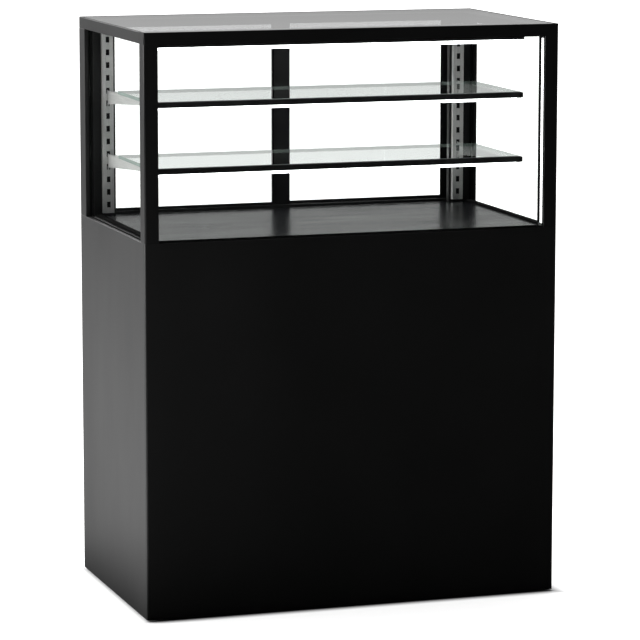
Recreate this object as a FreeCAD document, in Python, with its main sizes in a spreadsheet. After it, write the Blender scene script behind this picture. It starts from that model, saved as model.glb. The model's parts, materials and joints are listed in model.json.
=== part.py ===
"""Bakery display case: a black counter-height base with a glazed display above it.

Millimetres.  The origin is on the floor, under the middle of the case.  The customer
side faces -Y, the staff side with its sliding doors faces +Y, and +Z is up.
"""
import FreeCAD
import Part
import Sketcher
import math
import os
import re

Vector = FreeCAD.Vector

# ----------------------------------------------------------------- driving dimensions
SIZES = {
    # outside of the case
    "case_width": 1000, "case_depth": 575, "case_height": 1350,
    "foot_rise": 15, "skirt_gap": 4, "deck_level": 874, "sheet": 2, "corner_round": 4,
    "corner_return": 10, "seam": 0.5, "foot_inset": 45, "front_return": 20, "back_return": 30,
    "glass_ledge": 24, "pan_rise": 40,
    # glazed frame
    "post_face": 33, "post_depth": 36, "rail_height": 27, "rail_rim": 4,
    "rear_post_face": 73, "rear_post_depth": 50, "rear_post_front": 16, "rear_post_side": 30,
    "pane": 6, "groove_depth": 8, "groove_gap": 0.5,
    "front_pane_inset": 3, "side_pane_inset": 11, "header_height": 21,
    # shelves
    "upper_shelf_level": 1184, "lower_shelf_level": 1032, "shelf_pane": 8, "shelf_half": 449,
    "shelf_front": 100, "shelf_back": 412, "trim_depth": 20, "trim_height": 14, "trim_bite": 12,
    "trim_drop": 0.5,
    "standard_centre": 446.5, "standard_face": 27, "standard_depth": 12, "standard_wall": 2,
    "slot_face": 9, "slot_high": 14, "slot_pitch": 30.4, "slot_count": 14,
    "bracket_wall": 2, "bracket_nose": 2, "bracket_root": 31, "flange_face": 13,
    # light over the top display
    "lamp_left": 456, "lamp_right": 428, "lamp_depth": 105, "lamp_height": 30.5, "lamp_setback": 4,
    # sliding doors
    "door_half": 462, "stile": 40, "meeting_stile": 40, "door_thick": 10, "door_gap": 4,
    "door_rail": 14, "door_pane": 5, "track_gap": 1, "track_setback": 5, "track_depth": 11,
    "sill_rise": 8, "sill_depth": 34,
    # refrigerated tub under the deck
    "tub_half": 465, "tub_back_gap": 68, "tub_floor": 560, "tub_wall": 35, "pan_thick": 3, "pan_skirt": 8,
    "evap_fan_radius": 75, "cond_fan_radius": 95,
    # panel furniture
    "panel_recess": 3, "control_height": 100,
    "rocker_tilt": 7,
}

doc = FreeCAD.newDocument("bakery_display_case")
sheet = doc.addObject("Spreadsheet::Sheet", "Sizes")
for row, (alias, number) in enumerate(SIZES.items(), start=1):
    sheet.set("A%d" % row, alias)
    sheet.set("B%d" % row, str(number))
    sheet.setAlias("B%d" % row, alias)
doc.recompute()

ALIAS = re.compile(r"\b(" + "|".join(sorted(SIZES, key=len, reverse=True)) + r")\b")
subparts = []


def size(alias):
    """A driving dimension as a number, for shapes that are built in code."""
    return float(sheet.get(alias))


def bind(item, **properties):
    """Tie properties to formulas of the sheet; a double underscore stands for a dot."""
    for name, formula in properties.items():
        item.setExpression(name.replace("__", "."), ALIAS.sub(r"Sizes.\1", str(formula)))
    return item


def place(item, x="0", y="0", z="0"):
    """Bind an object's position to formulas of the sheet."""
    return bind(item, Placement__Base__x=x, Placement__Base__y=y, Placement__Base__z=z)


def subpart(item, label):
    """Name a finished piece; its label is also its file's name."""
    item.Label = label
    subparts.append(item)
    return item


def box(x, y, z):
    """A block between two formulas along each axis."""
    block = doc.addObject("Part::Box", "Block")
    bind(block, Length="(%s) - (%s)" % (x[1], x[0]), Width="(%s) - (%s)" % (y[1], y[0]),
         Height="(%s) - (%s)" % (z[1], z[0]))
    return place(block, x[0], y[0], z[0])


def cylinder(radius, length, centre, axis="Z"):
    """A round bar that starts at centre and runs along an axis."""
    bar = doc.addObject("Part::Cylinder", "Bar")
    bind(bar, Radius=radius, Height=length)
    turns = {"Z": (Vector(0, 0, 1), 0), "X": (Vector(0, 1, 0), 90), "Y": (Vector(1, 0, 0), -90)}
    bar.Placement = FreeCAD.Placement(Vector(), FreeCAD.Rotation(*turns[axis]))
    return place(bar, *centre)


def fuse(*pieces):
    """Join pieces into one solid."""
    joined = doc.addObject("Part::MultiFuse", "Joined")
    joined.Shapes = list(pieces)
    joined.Refine = True
    return joined


def cut(base, *tools):
    """Take tools away from a base."""
    result = doc.addObject("Part::Cut", "Cut")
    result.Base = base
    result.Tool = tools[0] if len(tools) == 1 else fuse(*tools)
    return result


def group(*pieces):
    """Separate solids that share a node."""
    together = doc.addObject("Part::Compound", "Group")
    together.Links = list(pieces)
    return together


def feature(label, shape, at=None, turn=0):
    """A piece whose shape is worked out in code, moved to a point and turned about X there."""
    item = doc.addObject("Part::Feature", "Shaped")
    item.Shape = shape
    item.Placement = FreeCAD.Placement(at or Vector(), FreeCAD.Rotation(Vector(1, 0, 0), turn))
    return subpart(item, label)


def round_uprights(block, radius, corners):
    """Round a block's upright edges that stand at the given corners, each an x and a y."""
    block.recompute()
    picked = []
    for index, edge in enumerate(block.Shape.Edges, start=1):
        middle, run = edge.CenterOfMass, edge.BoundBox
        if run.ZLength > 1 and any(math.hypot(middle.x - x, middle.y - y) < 0.01 for x, y in corners):
            picked.append((index, radius, radius))
    rounded = doc.addObject("Part::Fillet", "Rounded")
    rounded.Base = block
    rounded.Edges = picked
    return rounded


def front_corners(inset=0.0):
    """The two front corners of the case in plan, or points a little inside them."""
    x = size("case_width") / 2 - inset
    y = -size("case_depth") / 2 + inset
    return [(-x, y), (x, y)]


def both(low, high, side):
    """The span between two distances from the middle, on the left or right side."""
    if side == "left":
        return "-(%s)" % high, "-(%s)" % low
    return low, high


# ----------------------------------------------------------------------- sketches
def plane_of(body, role):
    """One of a body's own origin planes."""
    return next(plane for plane in body.Origin.OriginFeatures if plane.Role == role)


def sketch_on(body, role, offset=None):
    """A sketch on a body's origin plane, moved along its normal."""
    drawing = body.newObject("Sketcher::SketchObject", "Sketch")
    drawing.AttachmentSupport = (plane_of(body, role), [""])
    drawing.MapMode = "FlatFace"
    if offset is not None:
        bind(drawing, AttachmentOffset__Base__z=offset)
    return drawing


def draw_rectangle(drawing, left, bottom, width, height):
    """A rectangle with its corner and size bound to formulas."""
    corners = [Vector(1, 1, 0), Vector(3, 1, 0), Vector(3, 2, 0), Vector(1, 2, 0)]
    lines = [Part.LineSegment(corners[i], corners[(i + 1) % 4]) for i in range(4)]
    first = drawing.addGeometry(lines, False)[0]
    for i in range(4):
        drawing.addConstraint(Sketcher.Constraint("Coincident", first + i, 2, first + (i + 1) % 4, 1))
    for i, kind in enumerate(("Horizontal", "Vertical", "Horizontal", "Vertical")):
        drawing.addConstraint(Sketcher.Constraint(kind, first + i))
    measures = [
        (Sketcher.Constraint("DistanceX", first, 1, first, 2, 2.0), width),
        (Sketcher.Constraint("DistanceY", first + 1, 1, first + 1, 2, 1.0), height),
        (Sketcher.Constraint("DistanceX", -1, 1, first, 1, 1.0), left),
        (Sketcher.Constraint("DistanceY", -1, 1, first, 1, 1.0), bottom),
    ]
    for constraint, formula in measures:
        index = drawing.addConstraint(constraint)
        bind(drawing, **{"Constraints[%d]" % index: formula})


def pad(body, drawing, length, reverse=False):
    """Raise a sketch into a solid."""
    raised = body.newObject("PartDesign::Pad", "Pad")
    raised.Profile = drawing
    raised.Reversed = reverse
    return bind(raised, Length=length)


def pocket(body, drawing):
    """Cut a sketch right through, both ways."""
    hole = body.newObject("PartDesign::Pocket", "Pocket")
    hole.Profile = drawing
    hole.Type = 1
    hole.Midplane = True
    return hole


def repeat(body, feature_item, drawing, axis, pitch, count):
    """Repeat a feature in a row along a sketch axis."""
    pattern = body.newObject("PartDesign::LinearPattern", "Row")
    pattern.Originals = [feature_item]
    pattern.Direction = (drawing, [axis])
    bind(pattern, Length="(%s) * (%s - 1)" % (pitch, count), Occurrences=count)
    body.Tip = pattern
    return pattern


# ------------------------------------------------------- places used more than once
HALF = "case_width / 2"
FRONT = "-case_depth / 2"
BACK = "case_depth / 2"
FLOOR = "foot_rise"
SKIRT = "skirt_gap"
DECK = "deck_level"
RAIL_BOTTOM = "case_height - rail_height"
POST_INNER = "case_width / 2 - post_face"
POST_BACK = "-case_depth / 2 + post_depth"
SEAM = "-case_depth / 2 + corner_return + seam"
REAR_FRONT = "case_depth / 2 - rear_post_depth"
REAR_INNER = "case_width / 2 - rear_post_face"
REAR_CORE = "case_width / 2 - rear_post_side"
REAR_STEP = "case_depth / 2 - rear_post_depth + rear_post_front"
PANEL_BACK = "case_depth / 2 - panel_recess"
PANEL_FRONT = "case_depth / 2 - panel_recess - sheet"
INSIDE = "case_width / 2 - sheet"
FRONT_PANE = ("-case_depth / 2 + front_pane_inset", "-case_depth / 2 + front_pane_inset + pane")
FRONT_SLOT = ("-case_depth / 2 + front_pane_inset - groove_gap",
              "-case_depth / 2 + front_pane_inset + pane + groove_gap")
SIDE_PANE = ("case_width / 2 - side_pane_inset - pane", "case_width / 2 - side_pane_inset")
SIDE_SLOT = ("case_width / 2 - side_pane_inset - pane - groove_gap",
             "case_width / 2 - side_pane_inset + groove_gap")
STANDARD_INNER = "standard_centre - standard_face / 2"
SIDES = ("left", "right")


# ----------------------------------------------------------------------- base cabinet
def base_pan():
    """The welded floor tray, with a clearance hole over each foot."""
    outer = box(("-(%s)" % INSIDE, INSIDE), ("%s + 2 * sheet" % FRONT, "%s - sheet" % PANEL_FRONT),
                (FLOOR, "foot_rise + pan_rise"))
    hollow = box(("-(%s) + sheet" % INSIDE, "%s - sheet" % INSIDE),
                 ("%s + 3 * sheet" % FRONT, "%s - 2 * sheet" % PANEL_FRONT),
                 ("foot_rise + sheet", "foot_rise + pan_rise + 1"))
    holes = [cylinder("5.2", "10", (x, y, "foot_rise - 4")) for _, x, y in foot_places()]
    subpart(cut(outer, hollow, *holes), "base_pan")


def foot_places():
    """Name and position of each levelling foot."""
    columns = (("left", "-case_width / 2 + foot_inset"), ("right", "case_width / 2 - foot_inset"))
    rows = (("front", "-case_depth / 2 + foot_inset"), ("rear", "case_depth / 2 - foot_inset"))
    return [("%s_%s" % (end, side), x, y) for end, y in rows for side, x in columns]


def levelling_foot(name, x, y):
    """A turned foot: floor disc, round collar and stem, revolved about its axis."""
    body = doc.addObject("PartDesign::Body", "Foot")
    drawing = sketch_on(body, "XZ_Plane")
    outline = [(0, 0), (18, 0), (20, 2), (20, 7), (10, 10), (10, 14.5), (5, 14.5), (5, 45), (0, 45)]
    points = [Vector(radius, height, 0) for radius, height in outline]
    drawing.addGeometry([Part.LineSegment(points[i], points[(i + 1) % len(points)])
                         for i in range(len(points))], False)
    turned = body.newObject("PartDesign::Revolution", "Turned")
    turned.Profile = drawing
    turned.ReferenceAxis = (drawing, ["V_Axis"])
    turned.Angle = 360
    subpart(place(body, x, y, "0"), "foot_" + name)


def side_panel(side):
    """A folded side: outer skin, returns at the front and back, and the ledge under the glass."""
    skin = box(both(INSIDE, HALF, side), (SEAM, BACK), (SKIRT, DECK))
    front_return = box(both("%s - front_return" % INSIDE, INSIDE, side),
                       (SEAM, "%s + sheet" % SEAM), ("foot_rise + pan_rise", "deck_level - sill_depth"))
    back_return = box(both("%s - back_return" % INSIDE, INSIDE, side),
                      ("%s - sheet" % PANEL_FRONT, PANEL_FRONT), (FLOOR, "deck_level - sill_depth - 6"))
    ledge = box(both(POST_INNER, INSIDE, side), ("%s + 2 * sheet" % FRONT, BACK),
                ("deck_level - sheet", DECK))
    subpart(fuse(skin, front_return, back_return, ledge), side + "_side_panel")


def front_panel():
    """The plain front, one sheet folded round both corners and back under the front glass."""
    outer = box(("-(%s)" % HALF, HALF), (FRONT, "%s + corner_return" % FRONT), (SKIRT, DECK))
    inner = box(("-(%s)" % INSIDE, INSIDE), ("%s + sheet" % FRONT, "%s + corner_return + 1" % FRONT),
                ("%s - 1" % SKIRT, "%s + 1" % DECK))
    skin = cut(round_uprights(outer, size("corner_round"), front_corners()),
               round_uprights(inner, size("corner_round") - size("sheet"), front_corners(size("sheet"))))
    ledge = box(("-(%s)" % POST_INNER, POST_INNER), ("%s + sheet" % FRONT, "%s + glass_ledge" % FRONT),
                ("deck_level - sheet", DECK))
    subpart(fuse(skin, ledge), "front_panel")


def deck_rail(side):
    """The tube under the ledge that carries the side glass and the posts."""
    outer = box(both(POST_INNER, INSIDE, side), ("%s + 2 * sheet" % FRONT, "%s - sheet" % PANEL_FRONT),
                ("deck_level - sill_depth", "deck_level - sheet"))
    bore = box(both("%s + sheet" % POST_INNER, "%s - sheet" % INSIDE, side),
               (FRONT, BACK), ("deck_level - sill_depth + sheet", "deck_level - 2 * sheet"))
    subpart(cut(outer, bore), "deck_rail_" + side)


def track_span(index):
    """Front and back of a door in its track; 0 is the inner track and 1 the outer one."""
    start = "case_depth / 2 - track_setback - (2 - %d) * door_thick - (1 - %d) * door_gap" % (index, index)
    return start, "%s + door_thick" % start


def track_groove(index, z, reach):
    """The groove that a door runs in."""
    front, back = track_span(index)
    return box(("-(%s)" % reach, reach), ("%s - track_gap" % front, "%s + track_gap" % back), z)


def rear_sill():
    """The beam across the staff side, with the two lower door tracks."""
    beam = box(("-(%s)" % POST_INNER, POST_INNER), (REAR_FRONT, BACK),
               ("deck_level - sill_depth", DECK))
    top = box(("-(%s) + 0.5" % REAR_CORE, "%s - 0.5" % REAR_CORE), ("%s + 0.3" % REAR_STEP, BACK),
              (DECK, "deck_level + sill_rise"))
    grooves = [track_groove(i, ("deck_level + sill_rise - track_depth", "deck_level + sill_rise + 1"),
                            HALF) for i in (0, 1)]
    subpart(cut(fuse(beam, top), *grooves), "rear_sill")


def louvred_panel():
    """The removable service panel, with rows of air slots over the condenser."""
    body = doc.addObject("PartDesign::Body", "ServicePanel")
    outline = sketch_on(body, "XZ_Plane")
    draw_rectangle(outline, "-(%s) + 1" % INSIDE, "foot_rise + 42", "2 * (%s) - 2" % INSIDE,
                   "deck_level - sill_depth - control_height - foot_rise - 44")
    pad(body, outline, "sheet")
    slots = sketch_on(body, "XZ_Plane")
    for column in (-200, 50, 300):
        draw_rectangle(slots, str(column), "110", "150", "8")
    repeat(body, pocket(body, slots), slots, "V_Axis", "22", "12")
    subpart(place(body, "0", PANEL_BACK, "0"), "rear_service_panel")


CONTROL_BOTTOM = "deck_level - sill_depth - control_height"
CONTROL_LEVEL = "deck_level - sill_depth - control_height / 2"
THERMOSTAT_AT = -300
SWITCHES_AT = {"power_switch": -210, "light_switch": -170}
INLET_AT = 380


def control_panel():
    """The fixed strip above the service panel, cut out for its instruments."""
    body = doc.addObject("PartDesign::Body", "ControlPanel")
    outline = sketch_on(body, "XZ_Plane")
    draw_rectangle(outline, "-(%s) + 1" % INSIDE, CONTROL_BOTTOM, "2 * (%s) - 2" % INSIDE,
                   "control_height - 1")
    pad(body, outline, "sheet")
    openings = sketch_on(body, "XZ_Plane")
    draw_rectangle(openings, "%g - 35.8" % THERMOSTAT_AT, "%s - 14.8" % CONTROL_LEVEL, "71.6", "29.6")
    for x in SWITCHES_AT.values():
        draw_rectangle(openings, "%g - 9.7" % x, "%s - 13.7" % CONTROL_LEVEL, "19.4", "27.4")
    draw_rectangle(openings, "%g - 14" % INLET_AT, "%s - 10.5" % CONTROL_LEVEL, "28", "21")
    pocket(body, openings)
    subpart(place(body, "0", PANEL_BACK, "0"), "rear_control_panel")


# -------------------------------------------------------------------- panel furniture
BUTTONS_AT = {"button_set": -30, "button_down": 20, "button_up": 30}


def thermostat():
    """The digital controller: bezel, body behind the panel, and three button wells."""
    x = THERMOSTAT_AT
    bezel = box(("%g - 38.5" % x, "%g + 38.5" % x), (PANEL_BACK, "%s + 2.4" % PANEL_BACK),
                ("%s - 17.5" % CONTROL_LEVEL, "%s + 17.5" % CONTROL_LEVEL))
    body = box(("%g - 35.5" % x, "%g + 35.5" % x), ("%s - 52" % PANEL_BACK, PANEL_BACK),
               ("%s - 14.5" % CONTROL_LEVEL, "%s + 14.5" % CONTROL_LEVEL))
    wells = [box(("%g - 4.2" % (x + shift), "%g + 4.2" % (x + shift)),
                 ("%s - 3" % PANEL_BACK, "%s + 3" % PANEL_BACK),
                 ("%s - 8.2" % CONTROL_LEVEL, "%s + 0.2" % CONTROL_LEVEL))
             for shift in BUTTONS_AT.values()]
    window = box(("%g - 22" % x, "%g + 13" % x), ("%s + 1.8" % PANEL_BACK, "%s + 3" % PANEL_BACK),
                 ("%s - 9" % CONTROL_LEVEL, "%s + 11" % CONTROL_LEVEL))
    subpart(cut(fuse(bezel, body), *wells, window), "thermostat")


def thermostat_button(name, shift):
    """A small square key in its well, with softened edges."""
    body = doc.addObject("PartDesign::Body", "Key")
    drawing = sketch_on(body, "XZ_Plane")
    draw_rectangle(drawing, "%g - 4" % (THERMOSTAT_AT + shift), "%s - 8" % CONTROL_LEVEL, "8", "8")
    key = pad(body, drawing, "4.6")
    doc.recompute()
    rim = body.newObject("PartDesign::Chamfer", "Rim")
    rim.Base = (key, [outermost_face(key)])
    rim.Size = 0.5
    body.Tip = rim
    subpart(place(body, "0", "%s + 2.9" % PANEL_BACK, "0"), name)


def outermost_face(key):
    """The name of the face furthest along +Y."""
    faces = key.Shape.Faces
    index = max(range(len(faces)), key=lambda i: faces[i].CenterOfMass.y)
    return "Face%d" % (index + 1)


def switch_housing(x):
    """The clip-in shell of a rocker switch."""
    flange = box(("%g - 11" % x, "%g + 11" % x), (PANEL_BACK, "%s + 1.2" % PANEL_BACK),
                 ("%s - 15.5" % CONTROL_LEVEL, "%s + 15.5" % CONTROL_LEVEL))
    shell = box(("%g - 9.5" % x, "%g + 9.5" % x), ("%s - 22" % PANEL_BACK, PANEL_BACK),
                ("%s - 13.5" % CONTROL_LEVEL, "%s + 13.5" % CONTROL_LEVEL))
    well = box(("%g - 8" % x, "%g + 8" % x), ("%s - 14" % PANEL_BACK, "%s + 3" % PANEL_BACK),
               ("%s - 12" % CONTROL_LEVEL, "%s + 12" % CONTROL_LEVEL))
    return cut(fuse(flange, shell), well)


def rocker(name, x):
    """A rocker key: a shallow V on its pivot line, resting tilted to one side."""
    level = size("deck_level") - size("sill_depth") - size("control_height") / 2
    pivot_y = size("case_depth") / 2 - size("panel_recess") - 4
    reach, rise, drop = 11.2, 5.4, 6.0
    outline = [(-reach, rise), (0, 3.6), (reach, rise), (reach, 0.5), (0, -drop), (-reach, 0.5)]
    points = [Vector(-7.7, out, along) for along, out in outline]
    key = Part.Face(Part.makePolygon(points + points[:1])).extrude(Vector(15.4, 0, 0))
    feature(name, key, Vector(x, pivot_y, level), size("rocker_tilt"))


def power_inlet():
    """The appliance inlet: a flanged shell around three contact blades."""
    x = INLET_AT
    flange = box(("%g - 24" % x, "%g + 24" % x), (PANEL_BACK, "%s + 2.2" % PANEL_BACK),
                 ("%s - 12" % CONTROL_LEVEL, "%s + 12" % CONTROL_LEVEL))
    shell = box(("%g - 13.8" % x, "%g + 13.8" % x), ("%s - 22" % PANEL_BACK, PANEL_BACK),
                ("%s - 10.3" % CONTROL_LEVEL, "%s + 10.3" % CONTROL_LEVEL))
    socket = box(("%g - 12.3" % x, "%g + 12.3" % x), ("%s - 16" % PANEL_BACK, "%s + 4" % PANEL_BACK),
                 ("%s - 8.6" % CONTROL_LEVEL, "%s + 8.6" % CONTROL_LEVEL))
    blades = [box(("%g - 1" % (x + shift), "%g + 1" % (x + shift)),
                  ("%s - 17" % PANEL_BACK, "%s - 2" % PANEL_BACK),
                  ("%s + %g" % (CONTROL_LEVEL, low), "%s + %g" % (CONTROL_LEVEL, low + 4)))
              for shift, low in ((-7, -1), (0, 3), (7, -1))]
    subpart(fuse(cut(fuse(flange, shell), socket), *blades), "power_inlet")


def screws():
    """Pan-head screws around the two rear panels, each a separate solid."""
    heads = []
    half = size("case_width") / 2 - size("sheet") - 14
    top = size("deck_level") - size("sill_depth") - 12
    joint = top + 12 - size("control_height")
    rows = (top, joint + 12, joint - 14, joint / 2, size("foot_rise") + 54)
    outer = size("case_depth") / 2 - size("panel_recess")
    for level in rows:
        for x in (-half, half):
            head = Part.makeCylinder(4.2, 1.4, Vector(x, outer, level), Vector(0, 1, 0))
            dome = Part.makeCone(4.2, 2.6, 1.0, Vector(x, outer + 1.4, level), Vector(0, 1, 0))
            recess = Part.makeBox(4.4, 1.4, 1.0, Vector(x - 2.2, outer + 1.2, level - 0.5))
            crossed = Part.makeBox(1.0, 1.4, 4.4, Vector(x - 0.5, outer + 1.2, level - 2.2))
            heads.append(head.fuse(dome).cut(recess).cut(crossed).removeSplitter())
    feature("panel_screws", Part.makeCompound(heads))


# ---------------------------------------------------------------------- glazed frame
def front_post(side):
    """A front corner post, grooved for the front glass and the side glass."""
    block = box(both(POST_INNER, HALF, side), (FRONT, POST_BACK), (DECK, RAIL_BOTTOM))
    post = round_uprights(block, size("corner_round"), front_corners())
    front_groove = box(both("%s - 1" % POST_INNER, "%s + groove_depth - 2" % POST_INNER, side),
                       FRONT_SLOT, ("deck_level - 1", "%s + 1" % RAIL_BOTTOM))
    side_groove = box(both(*SIDE_SLOT, side), ("%s - groove_depth" % POST_BACK, "%s + 1" % POST_BACK),
                      ("deck_level - 1", "%s + 1" % RAIL_BOTTOM))
    subpart(cut(post, front_groove, side_groove), "front_%s_post" % side)


def rear_post(side):
    """A rear corner post: broad towards the display, open behind for the sliding doors."""
    face = box(both(REAR_INNER, HALF, side), (REAR_FRONT, REAR_STEP), (DECK, RAIL_BOTTOM))
    wall = box(both(REAR_CORE, HALF, side), (REAR_STEP, BACK), (DECK, RAIL_BOTTOM))
    groove = box(both(*SIDE_SLOT, side), ("%s - 1" % REAR_FRONT, "%s + groove_depth" % REAR_FRONT),
                 ("deck_level - 1", "%s + 1" % RAIL_BOTTOM))
    subpart(cut(fuse(face, wall), groove), "rear_%s_post" % side)


def top_rebate():
    """The seat that the top glass lies in."""
    return box(("-(%s) + rail_rim" % HALF, "%s - rail_rim" % HALF),
               ("%s + rail_rim" % FRONT, "%s - rail_rim" % BACK),
               ("case_height - pane - 0.5", "case_height + 1"))


def front_rail():
    """The top rail over the front glass."""
    block = box(("-(%s)" % HALF, HALF), (FRONT, POST_BACK), (RAIL_BOTTOM, "case_height"))
    rail = round_uprights(block, size("corner_round"), front_corners())
    reach = "%s + groove_depth - 2" % POST_INNER
    groove = box(("-(%s)" % reach, reach), FRONT_SLOT,
                 ("%s - 1" % RAIL_BOTTOM, "%s + groove_depth" % RAIL_BOTTOM))
    ends = [box(both(*SIDE_SLOT, side), ("%s - groove_depth" % POST_BACK, "%s + 1" % POST_BACK),
                ("%s - 1" % RAIL_BOTTOM, "%s + groove_depth" % RAIL_BOTTOM)) for side in SIDES]
    subpart(cut(rail, top_rebate(), groove, *ends), "top_rail_front")


def side_rail(side):
    """The top rail over a side glass."""
    rail = box(both(POST_INNER, HALF, side), (POST_BACK, BACK), (RAIL_BOTTOM, "case_height"))
    groove = box(both(*SIDE_SLOT, side), ("%s - 1" % POST_BACK, "%s + groove_depth" % REAR_FRONT),
                 ("%s - 1" % RAIL_BOTTOM, "%s + groove_depth" % RAIL_BOTTOM))
    subpart(cut(rail, top_rebate(), groove), "top_rail_" + side)


def rear_header():
    """The beam over the doors, with the two upper tracks, raised between the posts."""
    beam = box(("-(%s)" % POST_INNER, POST_INNER), (REAR_FRONT, BACK), (RAIL_BOTTOM, "case_height"))
    raised = box(("-(%s)" % REAR_INNER, REAR_INNER), ("%s - 1" % REAR_FRONT, "%s + 1" % BACK),
                 ("%s - 1" % RAIL_BOTTOM, "case_height - header_height"))
    grooves = [track_groove(i, ("%s - 1" % RAIL_BOTTOM, "case_height - header_height + track_depth + 1"),
                            HALF) for i in (0, 1)]
    subpart(cut(beam, raised, top_rebate(), *grooves), "rear_header")


def glass():
    """The four fixed panes."""
    reach = "%s + groove_depth - 2.5" % POST_INNER
    subpart(box(("-(%s)" % reach, reach), FRONT_PANE, (DECK, "%s + groove_depth - 1" % RAIL_BOTTOM)),
            "front_glass")
    for side in SIDES:
        subpart(box(both(*SIDE_PANE, side),
                    ("%s - groove_depth + 0.5" % POST_BACK, "%s + groove_depth - 0.5" % REAR_FRONT),
                    (DECK, "%s + groove_depth - 1" % RAIL_BOTTOM)), side + "_side_glass")
    subpart(box(("-(%s) + rail_rim + 0.5" % HALF, "%s - rail_rim - 0.5" % HALF),
                ("%s + rail_rim + 0.5" % FRONT, "%s - rail_rim - 0.5" % BACK),
                ("case_height - pane - 0.5", "case_height - 0.5")), "top_glass")


def top_light():
    """The wide lamp housing behind the front rail, hollow for its strip and wiring."""
    top = "case_height - pane - 1.5"
    front = "%s + lamp_setback" % POST_BACK
    outer = box(("-(lamp_left)", "lamp_right"), (front, "%s + lamp_depth" % front),
                ("%s - lamp_height" % top, top))
    hollow = box(("-(lamp_left) + sheet", "lamp_right - sheet"),
                 ("%s + sheet" % front, "%s + lamp_depth - sheet" % front),
                 ("%s - lamp_height - 1" % top, "%s - sheet" % top))
    subpart(cut(outer, hollow), "top_light_housing")


# ---------------------------------------------------------------------------- shelves
def shelf_standard(side):
    """A slotted channel on the front of a rear post."""
    body = doc.addObject("PartDesign::Body", "Standard")
    sign = -1 if side == "left" else 1
    outline = sketch_on(body, "XZ_Plane")
    draw_rectangle(outline, "%d * standard_centre - standard_face / 2" % sign, "deck_level + 8",
                   "standard_face", "%s - 6 - deck_level - 8" % RAIL_BOTTOM)
    pad(body, outline, "standard_depth")
    hollow = sketch_on(body, "XZ_Plane")
    draw_rectangle(hollow, "%d * standard_centre - standard_face / 2 + standard_wall" % sign,
                   "deck_level", "standard_face - 2 * standard_wall", "500")
    channel = body.newObject("PartDesign::Pocket", "Channel")
    channel.Profile = hollow
    channel.Reversed = True
    bind(channel, Length="standard_depth - standard_wall")
    slots = sketch_on(body, "XZ_Plane")
    draw_rectangle(slots, "%d * standard_centre - slot_face / 2" % sign,
                   "upper_shelf_level - shelf_pane - 9 * slot_pitch - slot_high / 2",
                   "slot_face", "slot_high")
    repeat(body, pocket(body, slots), slots, "V_Axis", "slot_pitch", "slot_count")
    subpart(place(body, "0", REAR_FRONT, "0"), side + "_shelf_standard")


def bracket_shape(sign, level):
    """One shelf bracket: tapered web with two hooks, and a flange under the glass."""
    wall = size("bracket_wall")
    rear = size("case_depth") / 2 - size("rear_post_depth") - size("standard_depth")
    nose = -size("case_depth") / 2 + size("shelf_front") + size("trim_depth") + 0.5
    seat = level - size("shelf_pane")
    outline = [(rear, seat), (nose, seat), (nose, seat - size("bracket_nose")),
               (rear - 8, seat - size("bracket_root")), (rear, seat - size("bracket_root") - 5)]
    inner = size("standard_centre") - wall / 2
    points = [Vector(inner, along, up) for along, up in outline]
    web = Part.Face(Part.makePolygon(points + points[:1])).extrude(Vector(wall, 0, 0))
    flange = Part.makeBox(size("flange_face") + wall / 2, rear - 30 - nose, wall,
                          Vector(inner - size("flange_face"), nose, seat - wall))
    shape = web.fuse(flange)
    for drop in (0, size("slot_pitch")):
        low = seat - drop - size("slot_high") / 2
        tongue = Part.makeBox(wall, size("standard_wall") + 4, 7, Vector(inner, rear - 1, low))
        lip = Part.makeBox(wall, 2.4, 11, Vector(inner, rear + size("standard_wall") + 0.6, low - 3))
        shape = shape.fuse(tongue).fuse(lip)
    shape = shape.removeSplitter()
    return shape if sign > 0 else shape.mirror(Vector(), Vector(1, 0, 0))


def shelf_brackets():
    """The four brackets that hook into the standards."""
    levels = (size("upper_shelf_level"), size("lower_shelf_level"))
    pieces = [bracket_shape(sign, level) for level in levels for sign in (-1, 1)]
    feature("shelf_brackets", Part.makeCompound(pieces))


def shelf(name, level):
    """A glass shelf and the lit trim that its front edge rests in, a little below its top face."""
    trim_back = "%s + shelf_front + trim_depth" % FRONT
    pane_front = "%s + shelf_front + trim_depth - trim_bite" % FRONT
    seat = "%s - shelf_pane" % level
    subpart(box(("-(shelf_half)", "shelf_half"), (pane_front, "%s + shelf_back" % FRONT),
                (seat, level)), name + "_glass")
    trim = box(("-(shelf_half)", "shelf_half"), ("%s + shelf_front" % FRONT, trim_back),
               ("%s - trim_height" % level, "%s - trim_drop" % level))
    rebate = box(("-(shelf_half) - 1", "shelf_half + 1"), (pane_front, "%s + 1" % trim_back),
                 (seat, "%s + 1" % level))
    subpart(cut(trim, rebate), name + "_trim")


# ----------------------------------------------------------------------- sliding doors
def sliding_door(side, index):
    """A framed door in its track: slim rails, a stile at the post and a broad one in the middle."""
    low, high = "deck_level + sill_rise - track_depth + 1", "case_height - header_height + track_depth - 1"
    front, back = track_span(index)
    span = both("-(meeting_stile) / 2", "door_half", side)
    frame = box(span, (front, back), (low, high))
    light = both("meeting_stile / 2", "door_half - stile", side)
    window = box(light, ("%s - 1" % front, "%s + 1" % back),
                 ("%s + door_rail" % low, "%s - door_rail" % high))
    wide = both("meeting_stile / 2 - 5", "door_half - stile + 5", side)
    middle = ("%s + (door_thick - door_pane) / 2" % front, "%s + (door_thick + door_pane) / 2" % front)
    heights = ("%s + door_rail - 5" % low, "%s - door_rail + 5" % high)
    seat = box(wide, middle, heights)
    grip = box(both("door_half - stile / 2 - 6", "door_half - stile / 2 + 6", side),
               ("%s - 5" % back, "%s + 1" % back), ("deck_level + 150", "deck_level + 290"))
    subpart(cut(frame, window, seat, grip), side + "_door_frame")
    subpart(box(wide, middle, heights), side + "_door_glass")


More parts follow.
